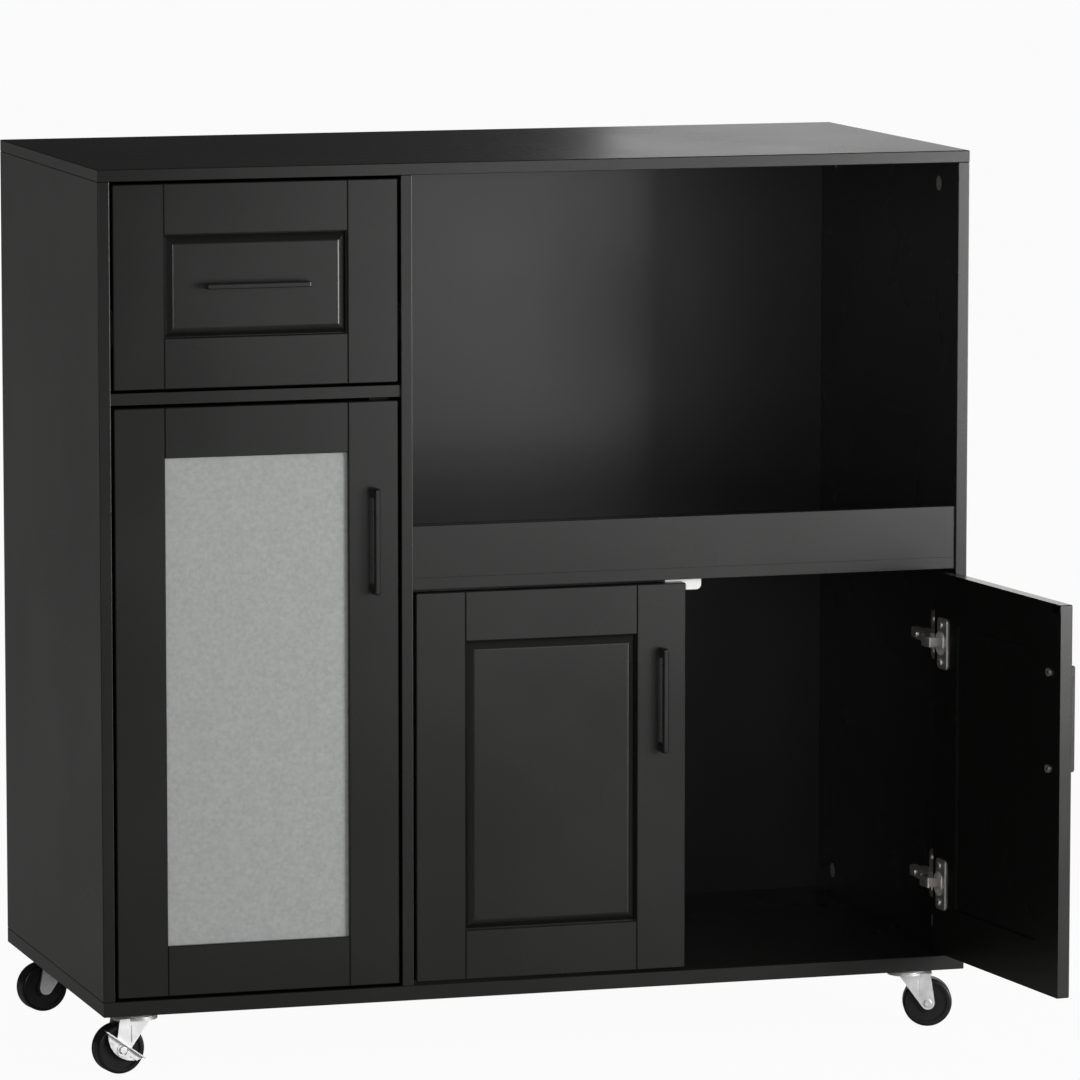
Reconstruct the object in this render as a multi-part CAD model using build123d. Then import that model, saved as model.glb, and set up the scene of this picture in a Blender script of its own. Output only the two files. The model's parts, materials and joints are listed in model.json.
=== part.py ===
from build123d import *
import os
from math import atan2, degrees

# Rolling kitchen sideboard: a lacquered board carcass on four casters, with one drawer,
# a glazed door, an open bay with an apron, and a cupboard with a pair of panelled doors.
# Millimetres, Z up, X to the right as seen from the front, Y towards the back.
# The origin is on the floor under the middle of the carcass.

# Carcass sizes
carcass_width = 900.0
carcass_depth = 430.0
carcass_height = 836.0
caster_height = 64.0
board = 12.0
bottom_board = 15.0
left_bay_width = 293.5
drawer_bay_height = 207.0
open_bay_height = 400.0
deck_recess = 3.0
apron_height = 52.0
back_thickness = 3.0
back_inset = 8.0
back_groove = 4.0
edge_ease = 1.0
joint_ease = 0.5

# Clearances
overrun = 1.0
fit_gap = 0.3
groove_fit = 0.2
bore_fit = 0.1
running_fit = 0.05

# Cam fittings that pull the boards together
cam_radius = 7.5
cam_depth = 9.0
cam_edge = 25.0
cam_setback = 57.0
cam_slot_width = 1.6
cam_slot_depth = 1.5
bolt_radius = 2.5
bolt_bite = 8.0

# Adjustable shelf behind the glazed door
shelf_board = 12.0
shelf_front_inset = 34.0
shelf_back_gap = 4.0
shelf_side_gap = 1.3
shelf_pin_radius = 2.5
shelf_pin_bite = 8.0
shelf_pin_reach = 9.0
shelf_pin_collar = 4.0
shelf_pin_collar_thickness = 1.0
shelf_pin_setback = 60.0
shelf_hole_pitch = 32.0
shelf_hole_count = 5
shelf_height_share = 0.5

# Doors and drawer front
door_thickness = 13.0
reveal = 3.0
stile_width = 51.0
rail_width = 50.0
joint_chamfer = 0.9
corner_round = 1.5
frame_groove = 8.0
tongue_thickness = 4.0
tongue_setback = 6.0
tongue_fit = 0.3
field_setback = 1.0
field_margin = 9.2
field_inner_gap = 0.8
field_ease = 0.6
panel_back_recess = 1.5
rebate_width = 8.0
pane_setback = 5.0
pane_thickness = 4.0
bead_width = 9.0
bead_round = 2.5

# Bar handles
handle_pitch = 96.0
handle_post = 10.0
handle_width = 5.2
handle_reach = 15.0
handle_bar = 6.0
handle_corner = 2.5
handle_ease = 0.9
handle_edge = 25.0
pair_handle_drop = 64.0
glass_handle_drop = 85.5
handle_screw_radius = 2.0
handle_screw_head = 4.0
handle_screw_head_height = 1.8
handle_screw_bite = 8.0

# Concealed hinges, measured from the hinge panel's face and the carcass front
hinge_end_distance = 72.0
pivot_inward = 10.0
pivot_back = 6.5
cup_radius = 13.0
cup_depth = 10.5
cup_wall = 0.8
cup_inward = 19.5
cup_flange_height = 52.0
cup_flange_lead = 14.0
cup_flange_tail = 7.5
cup_flange_corner = 4.0
cup_flange_thickness = 1.6
cup_flange_ease = 0.6
cup_screw_pitch = 38.0
hinge_pin_radius = 1.1
hinge_eye_radius = 2.0
hinge_pin_length = 14.4
neck_thickness = 2.2
neck_eye_width = 7.0
neck_width = 10.0
neck_reach = 15.0
neck_dip = 1.2
neck_rise_inward = 17.0
neck_rise_back = 6.0
neck_clear_back = 15.5
arm_height = 16.0
arm_width = 11.0
arm_wall = 1.2
arm_start = 34.0
arm_end = 84.0
arm_skirt = 7.0
plate_thickness = 1.6
plate_wing_height = 50.0
plate_wing_width = 13.0
plate_screw_pitch = 32.0
plate_setback = 60.0
riser_start = 42.0
riser_end = 80.0
arm_screw_setback = 50.0
arm_screw_spacing = 20.0
right_door_rest_angle = 96.0

# Small screws for hinges, strikes and casters
screw_radius = 1.6
screw_head_radius = 3.2
screw_head_height = 1.3
screw_bite = 7.0

# Magnetic catches and the strikes on the doors
catch_width = 38.0
single_catch_width = 20.0
catch_depth = 34.0
catch_height = 12.0
catch_round = 5.0
catch_edge = 6.0
magnet_width = 12.0
magnet_floor = 1.5
magnet_depth = 8.0
magnet_cover = 0.6
strike_width = 16.0
strike_height = 7.5
strike_drop = 8.0
strike_thickness = 1.0

# Drawer box and its telescopic runners
runner_thickness = 12.7
runner_height = 35.0
runner_wall = 1.2
runner_length = 350.0
runner_setback = 16.0
runner_lift = 62.0
outer_rail_depth = 9.2
middle_rail_start = 3.6
middle_rail_depth = 5.6
inner_rail_depth = 6.0
box_wall = 12.0
box_length = 362.0
box_side_height = 112.0
box_lift = 16.0
drawer_bottom_thickness = 3.0
drawer_bottom_lift = 8.0
drawer_groove = 5.0

# Casters
caster_inset = 46.0
caster_plate_size = 46.0
caster_plate_round = 6.0
caster_plate_thickness = 2.5
caster_hole_spacing = 34.0
race_radius = 19.0
race_lip_radius = 16.5
race_height = 4.3
lower_race_radius = 17.5
king_pin_radius = 4.0
king_pin_head_radius = 7.0
king_pin_head_height = 2.2
fork_top_gap = 8.5
fork_steel = 2.0
fork_lead = 17.0
fork_tail = 4.5
fork_boss_radius = 7.0
fork_crease = 1.0
fork_crease_height = 17.0
fork_crease_lead = 9.5
crown_round = 8.0
wheel_radius = 25.0
wheel_width = 20.0
wheel_shoulder = 3.0
wheel_dish_depth = 2.0
wheel_dish_outer = 20.0
wheel_dish_inner = 9.5
wheel_side_gap = 1.0
axle_radius = 3.0
axle_head_radius = 4.2
axle_head_height = 1.6
axle_head_round = 1.0
caster_trail = 22.0
front_left_heading = 188.0
front_right_heading = -16.0
back_left_heading = 190.0
back_right_heading = -8.0

# Brake levers on the front casters
brake_steel = 1.2
brake_length = 47.0
brake_upper = 6.2
brake_lower = 7.6
brake_lip = 5.0
brake_lip_tail = 4.0
brake_rib_length = 9.0
brake_rib_width = 2.2
brake_rib_height = 0.8
brake_rib_place = 14.5
brake_ring_radius = 6.4
brake_ring_width = 1.2
brake_tilt = 36.0

# Levels and faces worked out from the sizes above
x_left = -carcass_width / 2
x_right = carcass_width / 2
y_front = -carcass_depth / 2
y_back = carcass_depth / 2
z_under = caster_height
z_top = caster_height + carcass_height
left_inner = x_left + board
right_inner = x_right - board
divider_left = left_inner + left_bay_width
divider_right = divider_left + board
floor_z = z_under + bottom_board
ceiling_z = z_top - board
drawer_deck_top = ceiling_z - drawer_bay_height
drawer_deck_under = drawer_deck_top - board
bay_deck_top = ceiling_z - open_bay_height
bay_deck_under = bay_deck_top - board
back_face = y_back - back_inset - back_thickness
door_back = y_front + door_thickness
deck_front = y_front + deck_recess
meeting_x = (divider_right + right_inner) / 2


# Basic shapes

def slab(x0, x1, y0, y1, z0, z1):
    """Box between two corners."""
    return Pos((x0 + x1) / 2, (y0 + y1) / 2, (z0 + z1) / 2) * Box(x1 - x0, y1 - y0, z1 - z0)


def rod(start, end, radius):
    """Round bar from one point to another."""
    start, end = Vector(start), Vector(end)
    along = end - start
    middle = Plane(origin=(start + end) / 2, z_dir=along)
    return middle * Cylinder(radius, along.length)


def edges_at(part, axis, low=True):
    """Edges of the part's lowest or highest face along an axis."""
    faces = part.faces().sort_by(axis)
    return (faces[0] if low else faces[-1]).edges()


def screw(head_seat, direction, radius, head_radius, head_height, bite):
    """Screw that bites along a direction, with its head outside the seat."""
    seat, way = Vector(head_seat), Vector(direction)
    shank = rod(seat, seat + way * bite, radius)
    head = rod(seat - way * head_height, seat, head_radius)
    return shank + head


def bore(head_seat, direction, radius, bite):
    """Hole for a screw's shank, open at its seat."""
    seat, way = Vector(head_seat), Vector(direction)
    return rod(seat - way * overrun, seat + way * (bite + bore_fit), radius + bore_fit)


def small_screw(head_seat, direction):
    """One of the small pan-head screws."""
    return screw(head_seat, direction, screw_radius, screw_head_radius, screw_head_height, screw_bite)


def small_bore(head_seat, direction):
    """Hole for one of the small screws."""
    return bore(head_seat, direction, screw_radius, screw_bite)


def save(node, *solids):
    """Write one node's separate solids to its file."""
    found = []
    for solid in solids:
        found.extend(solid.solids())
    shape = found[0] if len(found) == 1 else Compound(found)
    export_step(shape, f"parts/{node}.step")


# Carcass boards

def carcass_boards():
    """Plain boards before they are bored and grooved."""
    top = slab(x_left, x_right, y_front, y_back, ceiling_z, z_top)
    top = fillet(edges_at(top, Axis.Z, low=False), edge_ease)
    top = chamfer(edges_at(top, Axis.Z), joint_ease)
    bottom = slab(x_left, x_right, y_front, y_back, z_under, floor_z)
    bottom = fillet(edges_at(bottom, Axis.Z), edge_ease)
    bottom = chamfer(edges_at(bottom, Axis.Z, low=False), joint_ease)
    boards = {"top_panel": top, "bottom_panel": bottom}
    uprights = {
        "left_side_panel": (x_left, left_inner),
        "right_side_panel": (right_inner, x_right),
        "centre_divider": (divider_left, divider_right),
    }
    for node, (x0, x1) in uprights.items():
        upright = slab(x0, x1, y_front, y_back, floor_z, ceiling_z)
        front_edges = edges_at(upright, Axis.Y).filter_by(Axis.Z)
        upright = fillet(front_edges, edge_ease)
        ends = edges_at(upright, Axis.Z) + edges_at(upright, Axis.Z, low=False)
        boards[node] = chamfer(ends, joint_ease)
    decks = {
        "drawer_deck": (left_inner, divider_left, drawer_deck_under, drawer_deck_top),
        "bay_deck": (divider_right, right_inner, bay_deck_under, bay_deck_top),
    }
    for node, (x0, x1, z0, z1) in decks.items():
        deck = slab(x0, x1, deck_front, back_face - groove_fit, z0, z1)
        boards[node] = fillet(edges_at(deck, Axis.Y).filter_by(Axis.X), joint_ease)
    return boards


def back_panel(x0, x1, grow=0):
    """Thin back panel between two faces, let into the boards around it."""
    reach = back_groove - groove_fit + grow
    y0 = back_face - grow
    y1 = back_face + back_thickness + grow
    return slab(x0 - reach, x1 + reach, y0, y1, floor_z - reach, ceiling_z + reach)


def cam_joints():
    """Board that holds the cam, board that takes the bolt, place, bolt way and cam face."""
    setbacks = (y_front + cam_setback, y_back - cam_setback)
    uprights = (
        ("left_side_panel", (x_left + left_inner) / 2, 1),
        ("right_side_panel", (right_inner + x_right) / 2, -1),
        ("centre_divider", (divider_left + divider_right) / 2, 1),
    )
    decks = (
        ("drawer_deck", "left_side_panel", "centre_divider", left_inner, divider_left,
         (drawer_deck_under + drawer_deck_top) / 2),
        ("bay_deck", "centre_divider", "right_side_panel", divider_right, right_inner,
         (bay_deck_under + bay_deck_top) / 2),
    )
    joints = []
    for y in setbacks:
        for node, x, inward in uprights:
            joints.append((node, "top_panel", (x, y, ceiling_z), (0, 0, 1), (inward, 0, 0)))
            joints.append((node, "bottom_panel", (x, y, floor_z), (0, 0, -1), (inward, 0, 0)))
        for node, left, right, x0, x1, z in decks:
            joints.append((node, left, (x0, y, z), (-1, 0, 0), (0, 0, -1)))
            joints.append((node, right, (x1, y, z), (1, 0, 0), (0, 0, -1)))
    return joints


def cam_fitting(place, bolt_way, cam_face):
    """Cam, bolt and the two boards' holes for one joint."""
    at = Plane(origin=place, x_dir=cam_face, z_dir=bolt_way)
    middle = board / 2 - cam_depth / 2
    turn = Pos(middle, 0, -cam_edge) * Rot(0, 90, 0)
    cam = turn * Cylinder(cam_radius, cam_depth)
    slot = Pos(board / 2, 0, -cam_edge) * Box(2 * cam_slot_depth, 2 * cam_radius, cam_slot_width)
    pocket = turn * Cylinder(cam_radius + bore_fit, cam_depth + bore_fit)
    pocket += Pos(board / 2, 0, -cam_edge) * Rot(0, 90, 0) * Cylinder(cam_radius + bore_fit, overrun)
    tip = cam_radius + fit_gap - cam_edge
    bolt = rod((0, 0, tip), (0, 0, bolt_bite), bolt_radius)
    shank_hole = rod((0, 0, -cam_edge), (0, 0, overrun), bolt_radius + bore_fit)
    bite_hole = rod((0, 0, -overrun), (0, 0, bolt_bite + bore_fit), bolt_radius + bore_fit)
    return at * (cam - slot), at * bolt, at * (pocket + shank_hole), at * bite_hole


def shelf_level():
    """Height of the shelf's pins, half way up the cupboard behind the glazed door."""
    return floor_z + (drawer_deck_under - floor_z) * shelf_height_share


def shelf_pin_places():
    """Panel, its face, the way into the bay, and the pin's depth for the four pins."""
    rows = (y_front + shelf_pin_setback + shelf_front_inset, back_face - shelf_pin_setback)
    faces = (("left_side_panel", left_inner, 1), ("centre_divider", divider_left, -1))
    return [(node, x, way, y) for node, x, way in faces for y in rows]


def shelf_and_pins(boards):
    """Adjustable shelf on four pins, with the rows of spare holes."""
    level = shelf_level()
    pins = []
    for node, x, way, y in shelf_pin_places():
        for step in range(shelf_hole_count):
            z = level + (step - shelf_hole_count // 2) * shelf_hole_pitch
            hole_end = (x - way * (shelf_pin_bite + bore_fit), y, z)
            hole = rod(hole_end, (x + way * overrun, y, z), shelf_pin_radius + bore_fit)
            boards[node] -= hole
        stem = rod((x - way * shelf_pin_bite, y, level), (x + way * shelf_pin_reach, y, level), shelf_pin_radius)
        collar = rod((x, y, level), (x + way * shelf_pin_collar_thickness, y, level), shelf_pin_collar)
        pins.append(stem + collar)
    underside = level + shelf_pin_radius + running_fit
    shelf = slab(
        left_inner + shelf_side_gap, divider_left - shelf_side_gap,
        y_front + shelf_front_inset, back_face - shelf_back_gap,
        underside, underside + shelf_board,
    )
    shelf = fillet(edges_at(shelf, Axis.Y), edge_ease)
    return shelf, pins


# Framed doors and drawer front

def frame_pieces(x0, x1, z0, z1, glazed):
    """Two stiles and two rails of a frame that stands flush with the carcass front."""
    inner_x0, inner_x1 = x0 + stile_width, x1 - stile_width
    inner_z0, inner_z1 = z0 + rail_width, z1 - rail_width
    tongue_back = y_front + tongue_setback + tongue_thickness
    stiles, rails = [], []
    for a, b in ((x0, inner_x0), (inner_x1, x1)):
        stile = slab(a, b, y_front, door_back, z0, z1)
        corners = stile.edges().filter_by(Axis.Y).sort_by(Axis.X)
        stile = fillet(corners[:2] if a == x0 else corners[-2:], corner_round)
        stiles.append(chamfer(edges_at(stile, Axis.Y).filter_by(Axis.Z), joint_chamfer))
    for a, b in ((z0, inner_z0), (inner_z1, z1)):
        rail = slab(inner_x0, inner_x1, y_front, door_back, a, b)
        rail = chamfer(edges_at(rail, Axis.Y), joint_chamfer)
        if not glazed:
            tenon_reach = frame_groove - tongue_fit
            rail += slab(
                inner_x0 - tenon_reach, inner_x1 + tenon_reach,
                y_front + tongue_setback, tongue_back, a, b,
            )
        rails.append(rail)
    if glazed:
        trench = slab(
            inner_x0 - rebate_width, inner_x1 + rebate_width,
            y_front + pane_setback, door_back + overrun,
            inner_z0 - rebate_width, inner_z1 + rebate_width,
        )
        stiles = [stile - trench for stile in stiles]
        rails = [rail - trench for rail in rails]
    else:
        groove_front = y_front + tongue_setback - running_fit
        groove_back = tongue_back + running_fit
        stile_trench = slab(
            inner_x0 - frame_groove, inner_x1 + frame_groove,
            groove_front, groove_back, z0 - overrun, z1 + overrun,
        )
        rail_trench = slab(
            inner_x0 - frame_groove, inner_x1 + frame_groove, groove_front, groove_back,
            inner_z0 - frame_groove, inner_z1 + frame_groove,
        )
        stiles = [stile - stile_trench for stile in stiles]
        rails = [rail - rail_trench for rail in rails]
    return stiles, rails


def raised_panel(x0, x1, z0, z1):
    """Panel whose field rises on a bevel from the groove beside the frame."""
    inner_x0, inner_x1 = x0 + stile_width, x1 - stile_width
    inner_z0, inner_z1 = z0 + rail_width, z1 - rail_width
    reach = frame_groove - tongue_fit
    tongue_face = y_front + tongue_setback
    tongue_back = tongue_face + tongue_thickness
    tongue = slab(
        inner_x0 - reach, inner_x1 + reach, tongue_face, tongue_back, inner_z0 - reach, inner_z1 + reach,
    )
    width, height = inner_x1 - inner_x0, inner_z1 - inner_z0
    rise = tongue_setback - field_setback
    slope = field_margin - field_inner_gap
    front = Plane(
        origin=((inner_x0 + inner_x1) / 2, tongue_face, (inner_z0 + inner_z1) / 2),
        x_dir=(1, 0, 0), z_dir=(0, -1, 0),
    )
    foot = Rectangle(width - 2 * field_inner_gap, height - 2 * field_inner_gap)
    field = extrude(front * foot, rise, taper=degrees(atan2(slope, rise)))
    field = chamfer(edges_at(field, Axis.Y), field_ease)
    back = slab(
        inner_x0 + field_inner_gap, inner_x1 - field_inner_gap, tongue_back, door_back - panel_back_recess,
        inner_z0 + field_inner_gap, inner_z1 - field_inner_gap,
    )
    return tongue + field + back


def pane_and_beads(x0, x1, z0, z1):
    """Frosted pane in the frame's rebate, held by four rounded beads."""
    reach = rebate_width - tongue_fit
    left, right = x0 + stile_width - reach, x1 - stile_width + reach
    low, high = z0 + rail_width - reach, z1 - rail_width + reach
    pane_face = y_front + pane_setback
    pane_back = pane_face + pane_thickness
    pane = slab(left, right, pane_face, pane_back, low, high)
    beads = []
    for a, b in ((left, left + bead_width), (right - bead_width, right)):
        beads.append((slab(a, b, pane_back, door_back, low, high), a == left, Axis.X, Axis.Z))
    for a, b in ((low, low + bead_width), (high - bead_width, high)):
        bead = slab(left + bead_width, right - bead_width, pane_back, door_back, a, b)
        beads.append((bead, a == low, Axis.Z, Axis.X))
    rounded = []
    for bead, low_side, across, along in beads:
        edge = edges_at(bead, Axis.Y, low=False).filter_by(along).sort_by(across)
        rounded.append(fillet(edge[-1] if low_side else edge[0], bead_round))
    return pane, rounded


# Handles

def bar_handle(place, upright):
    """Bar on two posts, lying along X or standing along Z on a front face."""
    length = handle_pitch + handle_post
    outline = Pos(0, -handle_reach / 2, 0) * Box(length, handle_reach, handle_width)
    ends = edges_at(outline, Axis.Y).filter_by(Axis.Z)
    outline = fillet(ends, handle_corner)
    outline = chamfer(edges_at(outline, Axis.Y), handle_ease)
    gap_depth = handle_reach - handle_bar
    gap = Pos(0, -gap_depth / 2 + overrun / 2, 0)
    gap *= Box(handle_pitch - handle_post, gap_depth + overrun, handle_width + overrun)
    turn = Rot(0, 90, 0) if upright else Rot(0, 0, 0)
    return Pos(*place) * turn * (outline - gap)


def handle_screw_seats(place, upright):
    """Where the two handle screws' heads sit on the back of the front."""
    x, y, z = place
    half = handle_pitch / 2
    offsets = ((0, -half), (0, half)) if upright else ((-half, 0), (half, 0))
    return [(x + dx, door_back, z + dz) for dx, dz in offsets]


def handle_set(place, upright, pieces):
    """Handle, its screws, and the bored front pieces behind it."""
    bite = door_thickness + handle_screw_bite
    handle = bar_handle(place, upright)
    screws = []
    for seat in handle_screw_seats(place, upright):
        hole = bore(seat, (0, -1, 0), handle_screw_radius, bite)
        handle -= hole
        pieces = [piece - hole for piece in pieces]
        screws.append(screw(
            seat, (0, -1, 0), handle_screw_radius, handle_screw_head, handle_screw_head_height, bite,
        ))
    return handle, screws, pieces


# Concealed hinges

def hinge_plane(face_x, way, z):
    """Frame on a hinge panel: X into the bay, Y towards the back, level with the hinge."""
    return Plane(origin=(face_x, y_front, z), x_dir=(way, 0, 0), z_dir=(0, 0, way))


def bent_strip(points, thickness):
    """Strip of constant thickness along a bent line, with round bends."""
    strip = Sketch()
    for start, end in zip(points, points[1:]):
        run = Vector(*end) - Vector(*start)
        middle = (Vector(*start) + Vector(*end)) / 2
        angle = degrees(atan2(run.Y, run.X))
        strip += Pos(middle.X, middle.Y) * Rot(0, 0, angle) * SlotCenterToCenter(run.length, thickness)
    return strip


def hinge_arm():
    """Arm with its eye on the hinge pin and a neck that clears the opened door."""
    pivot = (pivot_inward, pivot_back)
    bend = (pivot_inward + neck_reach, pivot_back - neck_dip)
    route = [
        bend,
        (pivot_inward + neck_rise_inward, pivot_back + neck_rise_back),
        (pivot_inward + neck_rise_inward, pivot_back + neck_clear_back),
        (arm_height, arm_start),
        (arm_height, arm_start + arm_skirt),
    ]
    neck = extrude(bent_strip(route, neck_thickness), neck_width / 2, both=True)
    eye_half, neck_half = neck_eye_width / 2, neck_width / 2
    tip, root = pivot_inward, bend[0] + neck_thickness
    blade = extrude(bent_strip([pivot, bend], neck_thickness), neck_half, both=True)
    taper = make_face(Polyline(
        (tip - hinge_eye_radius, -eye_half), (tip, -eye_half), (bend[0], -neck_half), (root, -neck_half),
        (root, neck_half), (bend[0], neck_half), (tip, eye_half), (tip - hinge_eye_radius, eye_half), close=True,
    ))
    neck += blade & extrude(Plane.XZ * taper, arm_end, both=True)
    neck += extrude(Pos(*pivot) * Circle(hinge_eye_radius), eye_half, both=True)
    web_top = arm_height + arm_wall / 2
    channel = slab(web_top - arm_skirt, web_top, arm_start, arm_end, -arm_width / 2, arm_width / 2)
    channel = fillet(channel.edges().filter_by(Axis.Y).sort_by(Axis.X)[-2:], arm_wall)
    hollow = arm_width / 2 - arm_wall
    channel -= slab(-overrun, web_top - arm_wall, arm_start - overrun, arm_end + overrun, -hollow, hollow)
    pin_hole = Pos(*pivot) * Cylinder(hinge_pin_radius + running_fit, neck_width + overrun)
    return neck + channel - pin_hole


def hinge_plate():
    """Mounting plate: two screwed wings and the riser that carries the arm."""
    wing = Pos(0, plate_setback, 0) * Rot(0, 90, 0) * SlotOverall(plate_wing_height, plate_wing_width)
    base = extrude(wing, plate_thickness, dir=(1, 0, 0))
    half = arm_width / 2 - arm_wall - fit_gap
    riser_top = arm_height - arm_wall / 2
    riser = slab(0, riser_top, riser_start, riser_end, -half, half)
    return base + riser


def hinge_cup():
    """Cup in the door with its flange, ears and the pin that the arm's eye turns on."""
    floor = door_thickness - cup_depth
    flange_face = door_thickness + cup_flange_thickness
    shell = rod((cup_inward, floor, 0), (cup_inward, flange_face, 0), cup_radius)
    flange_middle = cup_inward + (cup_flange_lead - cup_flange_tail) / 2
    flange = Pos(flange_middle, door_thickness, 0) * Rot(90, 0, 0)
    flange *= RectangleRounded(cup_flange_lead + cup_flange_tail, cup_flange_height, cup_flange_corner)
    flange = extrude(flange, cup_flange_thickness, dir=(0, 1, 0))
    flange = fillet(flange.faces().sort_by(Axis.Y)[-1].edges(), cup_flange_ease)
    hollow = rod((cup_inward, floor + cup_wall, 0), (cup_inward, flange_face + overrun, 0), cup_radius - cup_wall)
    pin = Pos(pivot_inward, pivot_back) * Cylinder(hinge_pin_radius, hinge_pin_length)
    return shell + flange - hollow + pin


def cup_screw_seats():
    """The two ear screws' seats on the flange."""
    flange_face = door_thickness + cup_flange_thickness
    return [(cup_inward, flange_face, side * cup_screw_pitch / 2) for side in (-1, 1)]


def hinge_levels(z0, z1):
    """Heights of a door's two hinges."""
    return (z0 + hinge_end_distance, z1 - hinge_end_distance)


def hinge_set(face_x, way, z0, z1):
    """Arms, plates and screws on the panel, and cups and screws on the door."""
    fixed = {"arms": [], "plates": [], "screws": [], "holes": []}
    moving = {"cups": [], "screws": [], "holes": []}
    for z in hinge_levels(z0, z1):
        at = hinge_plane(face_x, way, z)
        arm, plate = hinge_arm(), hinge_plate()
        web_top = arm_height + arm_wall / 2
        for side in (-1, 1):
            seat = (plate_thickness, plate_setback, side * plate_screw_pitch / 2)
            plate -= small_bore(seat, (-1, 0, 0))
            fixed["screws"].append(at * small_screw(seat, (-1, 0, 0)))
            fixed["holes"].append(at * small_bore(seat, (-1, 0, 0)))
        for step in range(2):
            seat = (web_top, arm_screw_setback + step * arm_screw_spacing, 0)
            arm -= small_bore(seat, (-1, 0, 0))
            plate -= small_bore(seat, (-1, 0, 0))
            fixed["screws"].append(at * small_screw(seat, (-1, 0, 0)))
        fixed["arms"].append(at * arm)
        fixed["plates"].append(at * plate)
        cup = hinge_cup()
        floor = door_thickness - cup_depth
        pocket = rod(
            (cup_inward, floor - bore_fit, 0), (cup_inward, door_thickness + overrun, 0), cup_radius + bore_fit,
        )
        moving["holes"].append(at * pocket)
        for seat in cup_screw_seats():
            cup -= small_bore(seat, (0, -1, 0))
            moving["screws"].append(at * small_screw(seat, (0, -1, 0)))
            moving["holes"].append(at * small_bore(seat, (0, -1, 0)))
        moving["cups"].append(at * cup)
    return fixed, moving


def pivot_of(face_x, way):
    """Plan position of a door's hinge line."""
    return (face_x + way * pivot_inward, y_front + pivot_back)


# Magnetic catches

def catch(x, width, count, ceiling):
    """Catch body under a deck, with its magnets, facing a door's strike."""
    face = door_back + strike_thickness + fit_gap
    body = slab(x - width / 2, x + width / 2, face, face + catch_depth, ceiling - catch_height, ceiling)
    low_edges = edges_at(body, Axis.Z).filter_by(Axis.Y)
    body = fillet(low_edges, catch_round)
    magnets = []
    for index in range(count):
        offset = (index - (count - 1) / 2) * width / 2
        magnet = slab(
            x + offset - magnet_width / 2, x + offset + magnet_width / 2,
            face + magnet_cover, face + magnet_cover + magnet_depth,
            ceiling - catch_height + magnet_floor, ceiling,
        )
        body -= magnet
        magnets.append(magnet)
    return body, magnets


def strike(x, ceiling):
    """Steel strike on the back of a door, opposite a magnet, with its screw."""
    middle = ceiling - strike_drop
    plate = slab(
        x - strike_width / 2, x + strike_width / 2, door_back, door_back + strike_thickness,
        middle - strike_height / 2, middle + strike_height / 2,
    )
    pin_start = (x, door_back + strike_thickness, middle)
    pin_end = (x, door_back - screw_bite, middle)
    hole_end = (x, door_back - screw_bite - bore_fit, middle)
    hole = rod((x, door_back + overrun, middle), hole_end, screw_radius + bore_fit)
    return plate + rod(pin_start, pin_end, screw_radius), hole


# Drawer box and runners

def runner_sections(face_x, way, z):
    """Outer, middle and inner rails of one telescopic runner on a bay wall."""
    start = y_front + runner_setback
    end = start + runner_length
    at = Plane(origin=(face_x, (start + end) / 2, z), x_dir=(way, 0, 0), z_dir=(0, 0, way))
    half_length = runner_length / 2

    def channel(near, far, half, open_away):
        """Channel between two distances from the wall, open to one side."""
        body = slab(near, far, -half_length, half_length, -half, half)
        inner = half - runner_wall
        if open_away:
            return body - slab(near + runner_wall, far + overrun, -runner_length, runner_length, -inner, inner)
        return body - slab(near - overrun, far - runner_wall, -runner_length, runner_length, -inner, inner)

    outer_half = runner_height / 2
    middle_half = outer_half - runner_wall - fit_gap
    inner_half = middle_half - runner_wall - fit_gap
    outer = channel(0, outer_rail_depth, outer_half, True)
    middle = channel(middle_rail_start, middle_rail_start + middle_rail_depth, middle_half, True)
    inner = channel(runner_thickness - inner_rail_depth, runner_thickness, inner_half, False)
    return at * outer, at * middle, at * inner


def drawer_box():
    """Two sides and a back, grooved for the bottom, and the bottom itself."""
    x0, x1 = left_inner + runner_thickness, divider_left - runner_thickness
    y0, y1 = door_back, door_back + box_length
    z0 = drawer_deck_top + box_lift
    z1 = z0 + box_side_height
    sides = [slab(x0, x0 + box_wall, y0, y1, z0, z1), slab(x1 - box_wall, x1, y0, y1, z0, z1)]
    sides = [fillet(edges_at(side, Axis.Z, low=False).filter_by(Axis.Y), edge_ease) for side in sides]
    back = slab(x0 + box_wall, x1 - box_wall, y1 - box_wall, y1, z0, z1 - edge_ease)
    reach = drawer_groove - groove_fit
    low = z0 + drawer_bottom_lift
    bottom = slab(
        x0 + box_wall - reach, x1 - box_wall + reach, y0, y1 - box_wall + reach,
        low, low + drawer_bottom_thickness,
    )
    trench = slab(
        x0 + box_wall - drawer_groove, x1 - box_wall + drawer_groove, y0 - overrun,
        y1 - box_wall + drawer_groove, low - groove_fit, low + drawer_bottom_thickness + groove_fit,
    )
    return [wall - trench for wall in (*sides, back)], bottom


# Casters

def caster_plate():
    """Top plate, upper race and king pin, standing on the caster's swivel line."""
    plate_top = caster_height
    plate_low = plate_top - caster_plate_thickness
    race_low = plate_low - race_height
    plate = extrude(
        Pos(0, 0, plate_low) * RectangleRounded(caster_plate_size, caster_plate_size, caster_plate_round),
        caster_plate_thickness,
    )
    head_low = fork_top() - fork_steel - fit_gap - king_pin_head_height
    head_top = head_low + king_pin_head_height
    outline = Polyline(
        (0, plate_low), (race_radius, plate_low), (race_lip_radius, race_low), (king_pin_radius, race_low),
        (king_pin_radius, head_top), (king_pin_head_radius, head_top), (king_pin_head_radius, head_low),
        (0, head_low), close=True,
    )
    return plate + revolve(make_face(Plane.XZ * outline), Axis.Z)


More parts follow.
